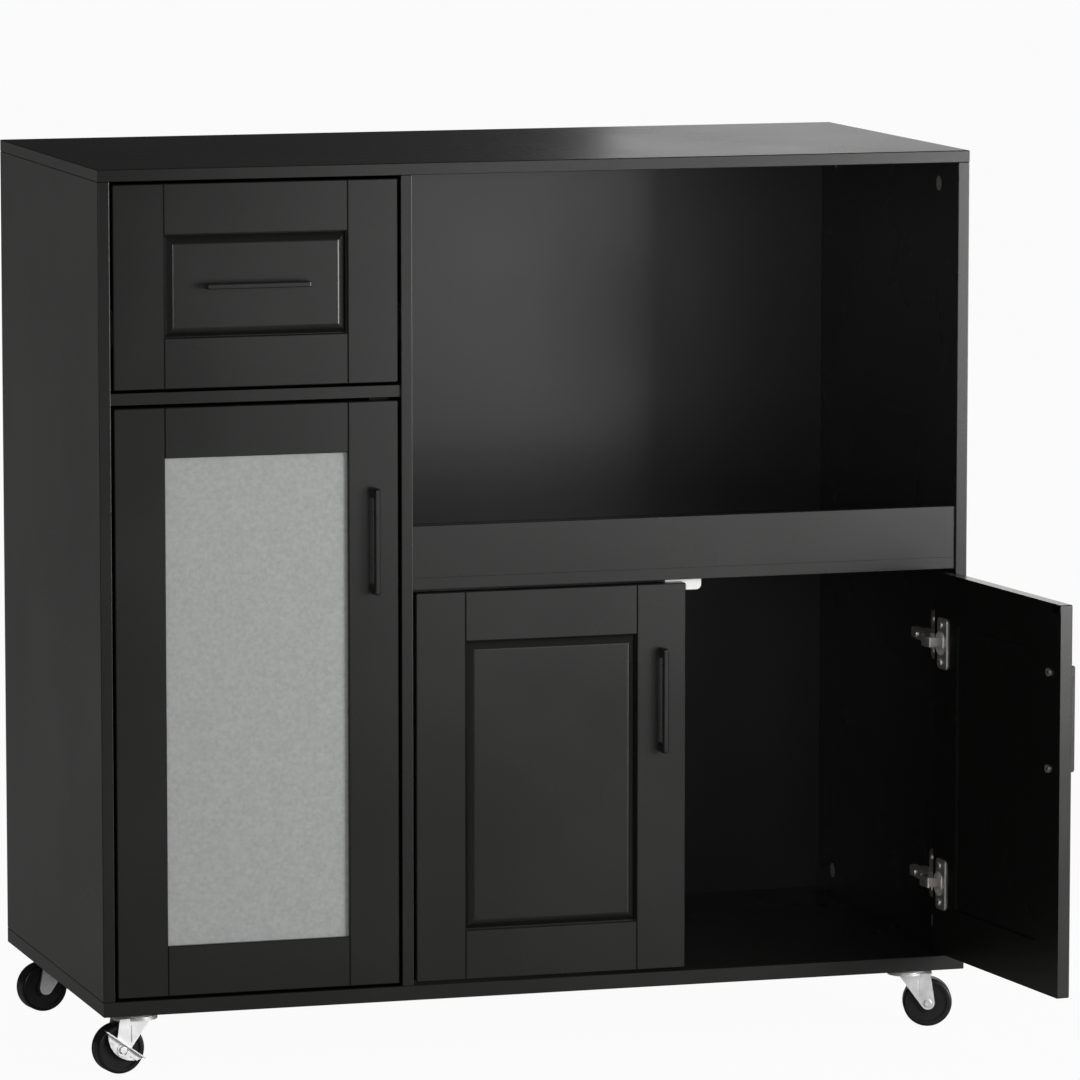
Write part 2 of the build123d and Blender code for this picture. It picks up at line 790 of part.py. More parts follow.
def caster_screw_places():
    """Screw places on a caster's plate, from its swivel line."""
    half = caster_hole_spacing / 2
    return [(sx * half, sy * half, caster_height - caster_plate_thickness) for sx in (-1, 1) for sy in (-1, 1)]


def fork_top():
    """Height of the fork crown's upper face."""
    return caster_height - fork_top_gap


def leg_faces():
    """Inner and outer distance of the fork's legs from the wheel's middle."""
    inner = wheel_width / 2 + wheel_side_gap
    return inner, inner + fork_steel


def caster_fork(braked):
    """Stamped fork with two tapered legs, the lower race, and the axle in its legs."""
    top = fork_top()
    inner, outer = leg_faces()
    tail = caster_trail + fork_tail
    crown = RectangleRounded(fork_lead + tail, 2 * outer, crown_round)
    crown = Pos((tail - fork_lead) / 2, 0) * crown + Circle(race_radius)
    fork = extrude(Pos(0, 0, top - fork_steel) * crown, fork_steel)
    race_gap = fork_top_gap - caster_plate_thickness - race_height - fit_gap
    fork += Pos(0, 0, top + race_gap / 2) * Cylinder(lower_race_radius, race_gap)
    outline = make_hull([
        *(Pos(caster_trail, wheel_radius) * Circle(fork_boss_radius)).edges(),
        Line((-fork_lead + crown_round, top), (tail - fork_steel, top)),
    ])
    for side in (-1, 1):
        near = inner if side > 0 else -outer
        leg = Pos(0, near, 0) * extrude(Plane.XZ * outline, fork_steel, dir=(0, 1, 0))
        crease_z = wheel_radius + fork_boss_radius + fork_crease_height / 2
        crease_place = (caster_trail - fork_crease_lead, side * outer, crease_z)
        fork += leg - Pos(*crease_place) * Rot(0, 0, 45) * Box(fork_crease, fork_crease, fork_crease_height)
    pin_hole = Pos(0, 0, top) * Cylinder(king_pin_radius + running_fit, caster_height)
    axle_hole = rod((caster_trail, -caster_height, wheel_radius), (caster_trail, caster_height, wheel_radius), axle_radius)
    fork = fork - pin_hole - axle_hole
    stack = outer + (2 * fit_gap + brake_steel if braked else 0)
    return fork, axle(outer, stack)


def axle(plain_side, far_side):
    """Riveted axle between its two heads."""
    middle = (caster_trail, 0, wheel_radius)
    start = (caster_trail, -plain_side, wheel_radius)
    end = (caster_trail, far_side, wheel_radius)
    shaft = rod(start, end, axle_radius)
    for edge, way in ((start, -1), (end, 1)):
        tip = (edge[0], edge[1] + way * axle_head_height, edge[2])
        head = rod(edge, tip, axle_head_radius)
        outer_face = head.faces().sort_by(Axis.Y)[0 if way < 0 else -1]
        shaft += fillet(outer_face.edges(), axle_head_round)
    return shaft


def caster_wheel():
    """Solid wheel with rounded shoulders, dished sides and a bored hub."""
    half = wheel_width / 2
    hub_half = half + wheel_side_gap - fit_gap
    bore_radius = axle_radius + running_fit
    rim = wheel_radius - wheel_shoulder
    dish = half - wheel_dish_depth
    right = Polyline(
        (bore_radius, -hub_half), (wheel_dish_inner, -hub_half), (wheel_dish_inner, -dish),
        (wheel_dish_outer, -dish), (wheel_dish_outer, -half), (rim, -half),
    )
    shoulder = RadiusArc((rim, -half), (wheel_radius, -half + wheel_shoulder), -wheel_shoulder)
    tread = Line((wheel_radius, -half + wheel_shoulder), (wheel_radius, 0))
    half_outline = Curve() + [right, shoulder, tread]
    outline = half_outline + mirror(half_outline, Plane.XZ)
    outline += Line((bore_radius, -hub_half), (bore_radius, hub_half))
    profile = make_face(outline.edges())
    wheel = revolve(profile, Axis.Y)
    return Pos(caster_trail, 0, wheel_radius) * wheel


def brake_lever():
    """Pressed rocker lever on the axle, with a straight lip above and a bowed edge below."""
    inner, outer = leg_faces()
    near = outer + fit_gap
    half = brake_length / 2
    bow = ThreePointArc((half, brake_upper), (0, -brake_lower), (-half, brake_upper))
    face = make_face([Line((-half, brake_upper), (half, brake_upper)), bow])
    plate = extrude(Plane.XZ * face, brake_steel, dir=(0, 1, 0))
    lip = slab(
        -half, half + brake_lip_tail, 0, brake_lip, brake_upper - brake_steel, brake_upper,
    )
    lip = fillet(edges_at(lip, Axis.Y, low=False).filter_by(Axis.Z), brake_steel)
    plate += lip
    for side in (-1, 1):
        rib = Pos(side * brake_rib_place, brake_steel, 0) * Rot(90, 0, 0)
        rib *= SlotOverall(brake_rib_length, brake_rib_width)
        plate += extrude(rib, brake_rib_height, dir=(0, 1, 0))
    ring = Pos(0, brake_steel, 0) * Rot(90, 0, 0) * Circle(brake_ring_radius)
    ring -= Pos(0, brake_steel, 0) * Rot(90, 0, 0) * Circle(brake_ring_radius - brake_ring_width)
    plate += extrude(ring, brake_rib_height, dir=(0, 1, 0))
    plate -= rod((0, -caster_height, 0), (0, caster_height, 0), axle_radius + running_fit)
    tilted = Rot(0, -brake_tilt, 0) * plate
    return Pos(caster_trail, near, wheel_radius) * tilted


def casters():
    """Name, swivel place, heading and whether it has a brake, for the four casters."""
    x, y = x_right - caster_inset, y_back - caster_inset
    return (
        ("front_left", (-x, -y), front_left_heading, True),
        ("front_right", (x, -y), front_right_heading, False),
        ("back_left", (-x, y), back_left_heading, False),
        ("back_right", (x, y), back_right_heading, False),
    )


# Assembly of the nodes

def build_carcass(boards, hinge_fixed):
    """Boards with their fittings, the back panels, the apron and the shelf."""
    cams, bolts = [], []
    for owner, mate, place, bolt_way, cam_face in cam_joints():
        cam, bolt, owner_hole, mate_hole = cam_fitting(place, bolt_way, cam_face)
        boards[owner] -= owner_hole
        boards[mate] -= mate_hole
        cams.append(cam)
        bolts.append(bolt)
    bays = {
        "left_back_panel": (left_inner, divider_left, ("left_side_panel", "centre_divider")),
        "right_back_panel": (divider_right, right_inner, ("centre_divider", "right_side_panel")),
    }
    for node, (x0, x1, uprights) in bays.items():
        for name in ("top_panel", "bottom_panel", *uprights):
            boards[name] -= back_panel(x0, x1, groove_fit)
        save(node, back_panel(x0, x1))
    shelf, pins = shelf_and_pins(boards)
    for panel, fixed in hinge_fixed:
        for hole in fixed["holes"]:
            boards[panel] -= hole
    save("cupboard_shelf", shelf)
    save("shelf_pins", *pins)
    save("cam_locks", *cams)
    save("cam_bolts", *bolts)
    apron = slab(
        divider_right + fit_gap, right_inner - fit_gap, deck_front, deck_front + board,
        bay_deck_top, bay_deck_top + apron_height,
    )
    save("bay_apron", fillet(edges_at(apron, Axis.Z, low=False).filter_by(Axis.X), edge_ease))


def build_door(node, box, hinge_way, moving, handle_place, strike_x, catch_ceiling, glazed, turn):
    """One framed door with its panel or pane, handle, cups and fixings."""
    stiles, rails = frame_pieces(*box, glazed)
    hinge_stile = 0 if hinge_way > 0 else 1
    free_stile = 1 - hinge_stile
    for hole in moving["holes"]:
        stiles[hinge_stile] -= hole
    handle, handle_screws, (stiles[free_stile],) = handle_set(handle_place, True, [stiles[free_stile]])
    plate, hole = strike(strike_x, catch_ceiling)
    stiles[free_stile] -= hole
    rails = [rail - hole for rail in rails]
    save(f"{node}_stiles", *[turn * stile for stile in stiles])
    save(f"{node}_rails", *[turn * rail for rail in rails])
    if glazed:
        pane, beads = pane_and_beads(*box)
        save("frosted_pane", turn * pane)
        save("pane_beads", *[turn * bead for bead in beads])
    else:
        save(f"{node}_panel", turn * raised_panel(*box))
    save(f"{node}_handle", turn * handle)
    save(f"{node}_hinge_cups", *[turn * cup for cup in moving["cups"]])
    fixings = [*handle_screws, *moving["screws"], plate]
    save(f"{node}_fixings", *[turn * fixing for fixing in fixings])


def build_drawer():
    """Drawer front, box, handle and the three rails of each runner."""
    box = (left_inner + reveal, divider_left - reveal, drawer_deck_top + reveal, ceiling_z - reveal)
    stiles, rails = frame_pieces(*box, False)
    panel = raised_panel(*box)
    face = y_front + field_setback
    place = ((box[0] + box[1]) / 2, face, (box[2] + box[3]) / 2)
    handle = bar_handle(place, False)
    panel_back = door_back - panel_back_recess
    bite = panel_back - face + handle_screw_bite
    screws = []
    for x, _, z in handle_screw_seats(place, False):
        seat = (x, panel_back, z)
        hole = bore(seat, (0, -1, 0), handle_screw_radius, bite)
        handle -= hole
        panel -= hole
        screws.append(screw(
            seat, (0, -1, 0), handle_screw_radius, handle_screw_head, handle_screw_head_height, bite,
        ))
    walls, bottom = drawer_box()
    level = drawer_deck_top + runner_lift
    pairs = [runner_sections(left_inner, 1, level), runner_sections(divider_left, -1, level)]
    save("drawer_front_stiles", *stiles)
    save("drawer_front_rails", *rails)
    save("drawer_front_panel", panel)
    save("drawer_handle", handle)
    save("drawer_handle_screws", *screws)
    save("drawer_box_walls", *walls)
    save("drawer_bottom", bottom)
    save("outer_runner_rails", *[rails[0] for rails in pairs])
    save("middle_runner_rails", *[rails[1] for rails in pairs])
    save("inner_runner_rails", *[rails[2] for rails in pairs])


def build_casters(boards):
    """Plates under the bottom board, forks, wheels and brake levers, and the plates' screws."""
    plates, screws = [], []
    for name, (x, y), heading, braked in casters():
        at = Pos(x, y, 0)
        plate = caster_plate()
        for seat in caster_screw_places():
            plate -= small_bore(seat, (0, 0, 1))
            boards["bottom_panel"] -= at * small_bore(seat, (0, 0, 1))
            screws.append(at * small_screw(seat, (0, 0, 1)))
        plates.append(at * plate)
        turned = at * Rot(0, 0, heading)
        fork, pin = caster_fork(braked)
        save(f"{name}_caster_fork", turned * fork, turned * pin)
        save(f"{name}_caster_wheel", turned * caster_wheel())
        if braked:
            save(f"{name}_brake_lever", turned * brake_lever())
    save("caster_plates", *plates)
    return screws


def build():
    """Write every node of the sideboard."""
    os.makedirs("parts", exist_ok=True)
    boards = carcass_boards()
    glass_box = (left_inner + reveal, divider_left - reveal, floor_z + reveal, drawer_deck_under - reveal)
    pair_low, pair_high = floor_z + reveal, bay_deck_under - reveal
    left_box = (divider_right + reveal, meeting_x - reveal / 2, pair_low, pair_high)
    right_box = (meeting_x + reveal / 2, right_inner - reveal, pair_low, pair_high)
    catch_offset = catch_width / 4
    glass_catch_x = divider_left - reveal - catch_edge - single_catch_width / 2
    still = Pos(0, 0, 0)
    px, py = pivot_of(right_inner, -1)
    swung = Pos(px, py, 0) * Rot(0, 0, right_door_rest_angle) * Pos(-px, -py, 0)
    doors = (
        ("glass_door", glass_box, "left_side_panel", left_inner, 1, glass_box[1] - handle_edge,
         glass_handle_drop, glass_catch_x, drawer_deck_under, True, still),
        ("left_door", left_box, "centre_divider", divider_right, 1, left_box[1] - handle_edge,
         pair_handle_drop, meeting_x - catch_offset, bay_deck_under, False, still),
        ("right_door", right_box, "right_side_panel", right_inner, -1, right_box[0] + handle_edge,
         pair_handle_drop, meeting_x + catch_offset, bay_deck_under, False, swung),
    )
    hinge_fixed = []
    for node, box, panel, face_x, way, handle_x, drop, strike_x, ceiling, glazed, turn in doors:
        fixed, moving = hinge_set(face_x, way, box[2], box[3])
        hinge_fixed.append((panel, fixed))
        handle_z = box[3] - drop - (handle_pitch + handle_post) / 2
        build_door(node, box, way, moving, (handle_x, y_front, handle_z), strike_x, ceiling, glazed, turn)
    caster_screws = build_casters(boards)
    build_carcass(boards, hinge_fixed)
    build_drawer()
    for node, solid in boards.items():
        save(node, solid)
    save("hinge_arms", *[arm for _, fixed in hinge_fixed for arm in fixed["arms"]])
    save("hinge_plates", *[plate for _, fixed in hinge_fixed for plate in fixed["plates"]])
    hinge_screws = [item for _, fixed in hinge_fixed for item in fixed["screws"]]
    save("cabinet_screws", *hinge_screws, *caster_screws)
    pair_catch, pair_magnets = catch(meeting_x, catch_width, 2, bay_deck_under)
    glass_catch, glass_magnets = catch(glass_catch_x, single_catch_width, 1, drawer_deck_under)
    save("door_catches", pair_catch)
    save("glass_door_catch", glass_catch)
    save("catch_magnets", *pair_magnets, *glass_magnets)


build()
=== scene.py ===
"""Finishes, small fittings and studio for the rolling sideboard, built round its CAD frame."""

import json
import math
from typing import NamedTuple

import bmesh
import bpy
from mathutils import Matrix, Vector


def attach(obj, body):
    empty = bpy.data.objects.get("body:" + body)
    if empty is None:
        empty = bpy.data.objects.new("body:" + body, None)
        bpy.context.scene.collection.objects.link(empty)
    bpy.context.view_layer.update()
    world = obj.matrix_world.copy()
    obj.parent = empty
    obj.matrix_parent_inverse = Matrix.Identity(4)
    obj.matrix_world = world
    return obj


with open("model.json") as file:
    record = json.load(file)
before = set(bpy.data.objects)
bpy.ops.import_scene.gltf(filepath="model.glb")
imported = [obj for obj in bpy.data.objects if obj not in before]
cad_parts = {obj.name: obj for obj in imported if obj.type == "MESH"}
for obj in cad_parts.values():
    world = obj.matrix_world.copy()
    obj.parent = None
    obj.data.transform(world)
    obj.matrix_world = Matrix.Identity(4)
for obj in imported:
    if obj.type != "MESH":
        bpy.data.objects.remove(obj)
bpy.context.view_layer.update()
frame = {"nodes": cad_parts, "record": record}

bl_info = {
    "name": "Rolling Sideboard Finishes",
    "version": (1, 0, 0),
    "blender": (4, 5, 0),
    "location": "View3D > Sidebar > Sideboard",
    "description": "Dresses the rolling sideboard's CAD pieces and sets up its studio",
    "category": "Object",
}

MM = 0.001

# Screw heads on the backs of the drawer and doors

HANDLE_PITCH = 96.0 * MM
CUP_SCREW_PITCH = 38.0 * MM
HANDLE_HEAD_BACK = -200.2 * MM
CUP_HEAD_BACK = -199.1 * MM
# The screws' crosses are thin raised plus sheets in a near-black colour: painted shade where the recesses'
# hollows would be shaded.
HANDLE_CROSS_RADIUS = 2.6 * MM
CUP_CROSS_RADIUS = 2.1 * MM
CROSS_HEIGHT = 0.06 * MM
CROSS_CELLS = 5
MERGE_DISTANCE = 0.0005 * MM
DRAWER_HANDLE_X = -0.29125
DRAWER_HANDLE_LEVEL = 0.7845
GLASS_HANDLE_X = -0.1725
GLASS_HANDLE_LEVEL = 0.5275
LEFT_HANDLE_X = 0.12625
RIGHT_HANDLE_X = 0.17925
DOOR_HANDLE_LEVEL = 0.356
GLASS_CUP_X = -0.4185
LEFT_CUP_X = -0.113
RIGHT_CUP_X = 0.4185
LOW_HINGE_LEVEL = 0.154
HIGH_HINGE_LEVEL = 0.401
GLASS_HIGH_HINGE_LEVEL = 0.594
RIGHT_DOOR_OPEN = math.radians(96.0)
RIGHT_HINGE_LINE = Vector((0.428, -0.2085, 0.0))

# Levels above which a door's fixings are its blackened strikes

STRIKE_LEVELS = (("glass_door", 0.648), ("left_door", 0.455), ("right_door", 0.455))
STRIKE_BLACK = (0.015, 0.015, 0.015, 1.0)

# Noise in the finishes

NOISE_MIDDLE = 0.5
GRAIN_SHARE = 0.35
LINE_SHARE = 0.6
BROAD_DETAIL = 3.0
FINE_DETAIL = 2.0
POLISH_FROM = 0.2
POLISH_TO = 0.8
LINE_STRETCH = (1.0, 1.0, 0.08)
LINE_SCALE = 900.0
CLOUD_SCALE = 90.0
PLATED_BUMP = 0.25
PANE_TRANSMISSION = 0.12
PANE_IOR = 1.5

# Sockets of a colour Mix node

MIX_FACTOR = 0
MIX_FIRST = 6
MIX_SECOND = 7
MIX_RESULT = 2

# Studio

WHITE = (1.0, 1.0, 1.0, 1.0)
GLOSS_FROM = 0.2
GLOSS_TO = 0.95
FLOOR_HALF = 60.0
FLOOR_CELLS = 8
FLOOR_COLOR = (0.48, 0.475, 0.47, 1.0)
FLOOR_ROUGHNESS = 0.9
FLOOR_GLOW_SHARE = 0.955
SENSOR_WIDTH = 36.0
CLIP_END = 200.0


class SoftBox(NamedTuple):
    """Rectangular lamp: where it stands, what it faces, its size and the setting with its power."""

    name: str
    place: tuple
    target: tuple
    width: float
    height: float
    power: str


SOFT_BOXES = (
    SoftBox("key_box", (2.5, -2.7, 0.72), (0.0, 0.0, 0.5), 1.9, 1.0, "key_power"),
    SoftBox("card_box", (0.82, -1.7, 0.84), (0.82, 0.0, 0.84), 1.34, 1.1, "card_power"),
    SoftBox("side_card_box", (1.2, -1.7, 0.88), (1.2, 0.0, 0.88), 0.8, 1.0, "side_card_power"),
    SoftBox("fill_box", (-1.6, -4.2, 1.2), (0.3, 0.0, 0.4), 0.8, 1.2, "fill_power"),
    SoftBox("rim_box", (1.7, 1.9, 1.45), (0.3, 0.0, 0.9), 2.0, 0.8, "rim_power"),
    SoftBox("back_card_box", (1.35, 1.9, 0.72), (0.46, -0.35, 0.45), 0.7, 0.42, "back_card_power"),
)


class ScrewedFront(NamedTuple):
    """Drawer or door with screw heads on its back: its turn at rest, and the heads' x and z when shut."""

    body: str
    turn: float
    handle_heads: tuple
    cup_heads: tuple


def side_by_side(x, level, pitch):
    """Two screw places at one level."""
    return ((x - pitch / 2, level), (x + pitch / 2, level))


def one_above_other(x, level, pitch):
    """Two screw places on one upright line."""
    return ((x, level - pitch / 2), (x, level + pitch / 2))


def cup_places(x, levels):
    """Screw places of the hinge cups at some levels."""
    return tuple(place for level in levels for place in one_above_other(x, level, CUP_SCREW_PITCH))


SCREWED_FRONTS = (
    ScrewedFront("drawer", 0.0, side_by_side(DRAWER_HANDLE_X, DRAWER_HANDLE_LEVEL, HANDLE_PITCH), ()),
    ScrewedFront(
        "glass_door", 0.0, one_above_other(GLASS_HANDLE_X, GLASS_HANDLE_LEVEL, HANDLE_PITCH),
        cup_places(GLASS_CUP_X, (LOW_HINGE_LEVEL, GLASS_HIGH_HINGE_LEVEL)),
    ),
    ScrewedFront(
        "left_door", 0.0, one_above_other(LEFT_HANDLE_X, DOOR_HANDLE_LEVEL, HANDLE_PITCH),
        cup_places(LEFT_CUP_X, (LOW_HINGE_LEVEL, HIGH_HINGE_LEVEL)),
    ),
    ScrewedFront(
        "right_door", RIGHT_DOOR_OPEN, one_above_other(RIGHT_HANDLE_X, DOOR_HANDLE_LEVEL, HANDLE_PITCH),
        cup_places(RIGHT_CUP_X, (LOW_HINGE_LEVEL, HIGH_HINGE_LEVEL)),
    ),
)


# User settings

def color_setting(name, description, default):
    """Colour that a user can change."""
    return bpy.props.FloatVectorProperty(
        name=name, description=description, subtype="COLOR", size=3, min=0.0, max=1.0, default=default,
    )


def power_setting(name, description, default):
    """Lamp power that a user can change."""
    return bpy.props.FloatProperty(name=name, description=description, unit="POWER", min=0.0, default=default)


def strength_setting(name, description, default):
    """Strength of the room's light that a user can change."""
    return bpy.props.FloatProperty(name=name, description=description, min=0.0, default=default)


class SideboardFinishes(bpy.types.PropertyGroup):
    """Colours of the sideboard's finishes, and the painted shade of the screws' cross recesses."""

    lacquer: color_setting("Lacquer", "Satin lacquer on the boards and doors", (0.0075, 0.0070, 0.0066))
    hardboard: color_setting(
        "Hardboard", "Painted hardboard of the back and the drawer's bottom", (0.0070, 0.0066, 0.0063),
    )
    melamine: color_setting("Melamine", "Facing of the drawer box", (0.012, 0.0115, 0.011))
    frosting: color_setting("Frosting", "Etched face of the pane", (0.36, 0.37, 0.363))
    handle_coat: color_setting("Handle coat", "Satin coat on the bar handles", (0.008, 0.008, 0.008))
    nickel: color_setting("Nickel", "Plating of hinges and screws", (0.90, 0.88, 0.85))
    zinc: color_setting("Zinc", "Plating of casters and runners", (0.86, 0.86, 0.87))
    tread: color_setting("Tread", "Moulded wheels and black catch", (0.010, 0.010, 0.010))
    catch_plastic: color_setting("Catch plastic", "Bodies of the magnetic catches", (0.84, 0.84, 0.83))
    # Painted shade: near-black colour of the crosses on the screws' heads, standing in for the shade inside
    # their recesses.
    painted_recess_shade: color_setting("Recess", "Shaded cross recesses in the screws' heads", (0.03, 0.03, 0.03))
    magnet: color_setting("Magnet", "Magnets in the catches", (0.22, 0.22, 0.23))


class SideboardStudio(bpy.types.PropertyGroup):
    """Camera and light of the studio."""

    camera_place: bpy.props.FloatVectorProperty(
        name="Camera place", description="Where the camera stands",
        subtype="TRANSLATION", unit="LENGTH", size=3, default=(-2.0506, -6.9760, 1.4279),
    )
    camera_turn: bpy.props.FloatProperty(
        name="Camera turn", description="How far the camera is turned to the right",
        subtype="ANGLE", default=math.radians(16.861),
    )
    camera_dip: bpy.props.FloatProperty(
        name="Camera dip", description="How far the camera looks down",
        subtype="ANGLE", default=math.radians(7.309),
    )
    lens: bpy.props.FloatProperty(
        name="Lens", description="Focal length on a 36 mm sensor",
        unit="CAMERA", default=238.88,
    )
    room_light: strength_setting("Room light", "Strength of the even light from all round", 0.3)
    room_left: strength_setting("Room left", "How bright the room's left side shows in gloss", 0.03)
    room_right: strength_setting("Room right", "How bright the room's right side shows in gloss", 0.7)
    key_power: power_setting("Key power", "Power of the soft box in front on the right", 74.0)
    fill_power: power_setting("Fill power", "Power of the small soft box beside the camera", 27.0)
    card_power: power_setting("Card power", "Power of the dim card that shows in the fronts' gloss", 4.6)
    side_card_power: power_setting("Side card power", "Power of the brighter card further right", 15.0)
    back_card_power: power_setting("Back card power", "Power of the low card behind on the right", 1.6)
    rim_power: power_setting("Rim power", "Power of the low soft box behind on the right", 3.8)


# Shader node groups

def surface_group(name, scales=()):
    """Node group with the sockets that every finish has, and a named input for each scale it needs."""
    group = bpy.data.node_groups.new(name, "ShaderNodeTree")
    face = group.interface
    face.new_socket(name="Place", in_out="INPUT", socket_type="NodeSocketVector")
    face.new_socket(name="Base", in_out="INPUT", socket_type="NodeSocketColor")
    for number in ("Tone spread", *scales, "Least rough", "Most rough"):
        face.new_socket(name=number, in_out="INPUT", socket_type="NodeSocketFloat")
    face.new_socket(name="Color", in_out="OUTPUT", socket_type="NodeSocketColor")
    face.new_socket(name="Roughness", in_out="OUTPUT", socket_type="NodeSocketFloat")
    face.new_socket(name="Height", in_out="OUTPUT", socket_type="NodeSocketFloat")
    return group, group.nodes.new("NodeGroupInput")


def add_noise(group, place, detail):
    """Noise texture that reads a place."""
    noise = group.nodes.new("ShaderNodeTexNoise")
    noise.inputs["Detail"].default_value = detail
    group.links.new(place, noise.inputs["Vector"])
    return noise


def put_out_surface(group, inside, broad, fine, fine_share):
    """Let broad and fine noise sway the base's tone, broad noise the polish, and fine noise the height."""
    nodes, links = group.nodes, group.links
    mixed = nodes.new("ShaderNodeMath")
    mixed.operation = "MULTIPLY_ADD"
    mixed.inputs[1].default_value = fine_share
    links.new(fine.outputs["Fac"], mixed.inputs[0])
    links.new(broad.outputs["Fac"], mixed.inputs[2])
    centred = nodes.new("ShaderNodeMath")
    centred.operation = "SUBTRACT"
    centred.inputs[1].default_value = NOISE_MIDDLE * (1.0 + fine_share)
    links.new(mixed.outputs[0], centred.inputs[0])
    swing = nodes.new("ShaderNodeMath")
    swing.operation = "MULTIPLY_ADD"
    swing.inputs[2].default_value = 1.0
    links.new(centred.outputs[0], swing.inputs[0])
    links.new(inside.outputs["Tone spread"], swing.inputs[1])
    tone = nodes.new("ShaderNodeHueSaturation")
    links.new(swing.outputs[0], tone.inputs["Value"])
    links.new(inside.outputs["Base"], tone.inputs["Color"])
    rough = nodes.new("ShaderNodeMapRange")
    rough.interpolation_type = "SMOOTHSTEP"
    rough.inputs["From Min"].default_value = POLISH_FROM
    rough.inputs["From Max"].default_value = POLISH_TO
    links.new(broad.outputs["Fac"], rough.inputs["Value"])
    links.new(inside.outputs["Least rough"], rough.inputs["To Min"])
    links.new(inside.outputs["Most rough"], rough.inputs["To Max"])
    outside = nodes.new("NodeGroupOutput")
    links.new(tone.outputs["Color"], outside.inputs["Color"])
    links.new(rough.outputs["Result"], outside.inputs["Roughness"])
    links.new(fine.outputs["Fac"], outside.inputs["Height"])


def make_variation_group():
    """Broad tone, fine grain and roughness that drift over a painted or moulded surface."""
    group, inside = surface_group("surface_variation", ("Broad scale", "Fine scale"))
    broad = add_noise(group, inside.outputs["Place"], BROAD_DETAIL)
    group.links.new(inside.outputs["Broad scale"], broad.inputs["Scale"])
    fine = add_noise(group, inside.outputs["Place"], FINE_DETAIL)
    group.links.new(inside.outputs["Fine scale"], fine.inputs["Scale"])
    put_out_surface(group, inside, broad, fine, GRAIN_SHARE)
    return group


def make_streak_group():
    """Long faint rolling lines of plated sheet, drawn out along one direction."""
    group, inside = surface_group("rolled_streaks")
    stretch = group.nodes.new("ShaderNodeMapping")
    stretch.inputs["Scale"].default_value = LINE_STRETCH
    group.links.new(inside.outputs["Place"], stretch.inputs["Vector"])
    lines = add_noise(group, stretch.outputs["Vector"], FINE_DETAIL)
    lines.inputs["Scale"].default_value = LINE_SCALE
    cloud = add_noise(group, inside.outputs["Place"], BROAD_DETAIL)
    cloud.inputs["Scale"].default_value = CLOUD_SCALE
    put_out_surface(group, inside, cloud, lines, LINE_SHARE)
    return group


def shared_group(name, maker):
    """The named node group, made on its first use."""
    return bpy.data.node_groups.get(name) or maker()


# Materials

def start_material(name):
    """New node material and its Principled shader."""
    material = bpy.data.materials.new(name)
    material.use_nodes = True
    return material, material.node_tree.nodes["Principled BSDF"]


def object_place(tree):
    """Object coordinates of whatever wears the material."""
    return tree.nodes.new("ShaderNodeTexCoord").outputs["Object"]


def add_surface(tree, place, group, color, spread, rough):
    """Surface group placed in a material, with its base, spread and range of roughness."""
    node = tree.nodes.new("ShaderNodeGroup")
    node.node_tree = group
    node.inputs["Base"].default_value = (*color, 1.0)
    node.inputs["Tone spread"].default_value = spread
    node.inputs["Least rough"].default_value = rough[0]
    node.inputs["Most rough"].default_value = rough[1]
    tree.links.new(place, node.inputs["Place"])
    return node


def add_bump(tree, shader, height, distance, strength):
    """Fine relief on a material's shader."""
    bump = tree.nodes.new("ShaderNodeBump")
    bump.inputs["Distance"].default_value = distance
    bump.inputs["Strength"].default_value = strength
    tree.links.new(height, bump.inputs["Height"])
    tree.links.new(bump.outputs["Normal"], shader.inputs["Normal"])


def coated_material(name, color, spread, broad, fine, rough, relief, specular=0.5, strength=0.3):
    """Paint, lacquer, board or plastic with drifting tone, grain and roughness."""
    material, shader = start_material(name)
    tree = material.node_tree
    group = shared_group("surface_variation", make_variation_group)
    node = add_surface(tree, object_place(tree), group, color, spread, rough)
    node.inputs["Broad scale"].default_value = broad
    node.inputs["Fine scale"].default_value = fine
    tree.links.new(node.outputs["Color"], shader.inputs["Base Color"])
    tree.links.new(node.outputs["Roughness"], shader.inputs["Roughness"])
    shader.inputs["Specular IOR Level"].default_value = specular
    add_bump(tree, shader, node.outputs["Height"], relief, strength)
    return material


def plated_material(name, color, spread, rough, relief, dark_above=None):
    """Plated steel with rolling lines and drifting polish, blackened above a level if one is given."""
    material, shader = start_material(name)
    tree = material.node_tree
    place = object_place(tree)
    group = shared_group("rolled_streaks", make_streak_group)
    node = add_surface(tree, place, group, color, spread, rough)
    shade = node.outputs["Color"]
    if dark_above is not None:
        shade = blackened_above(tree, place, shade, dark_above)
    tree.links.new(shade, shader.inputs["Base Color"])
    tree.links.new(node.outputs["Roughness"], shader.inputs["Roughness"])
    shader.inputs["Metallic"].default_value = 1.0
    add_bump(tree, shader, node.outputs["Height"], relief, PLATED_BUMP)
    return material


def blackened_above(tree, place, shade, level):
    """The shade turned black on whatever stands above a level."""
    split = tree.nodes.new("ShaderNodeSeparateXYZ")
    tree.links.new(place, split.inputs["Vector"])
    above = tree.nodes.new("ShaderNodeMath")
    above.operation = "GREATER_THAN"
    above.inputs[1].default_value = level
    tree.links.new(split.outputs["Z"], above.inputs[0])
    coat = tree.nodes.new("ShaderNodeMix")
    coat.data_type = "RGBA"
    coat.inputs[MIX_SECOND].default_value = STRIKE_BLACK
    tree.links.new(above.outputs[0], coat.inputs[MIX_FACTOR])
    tree.links.new(shade, coat.inputs[MIX_FIRST])
    return coat.outputs[MIX_RESULT]


def frosted_material(color):
    """Etched pane: grey with fine mottling, a little light let through."""
    material = coated_material(
        "frosted_pane", color, spread=0.5, broad=240.0, fine=700.0,
        rough=(0.48, 0.62), relief=0.05 * MM, strength=0.4,
    )
    shader = material.node_tree.nodes["Principled BSDF"]
    shader.inputs["Transmission Weight"].default_value = PANE_TRANSMISSION
    shader.inputs["IOR"].default_value = PANE_IOR
    return material


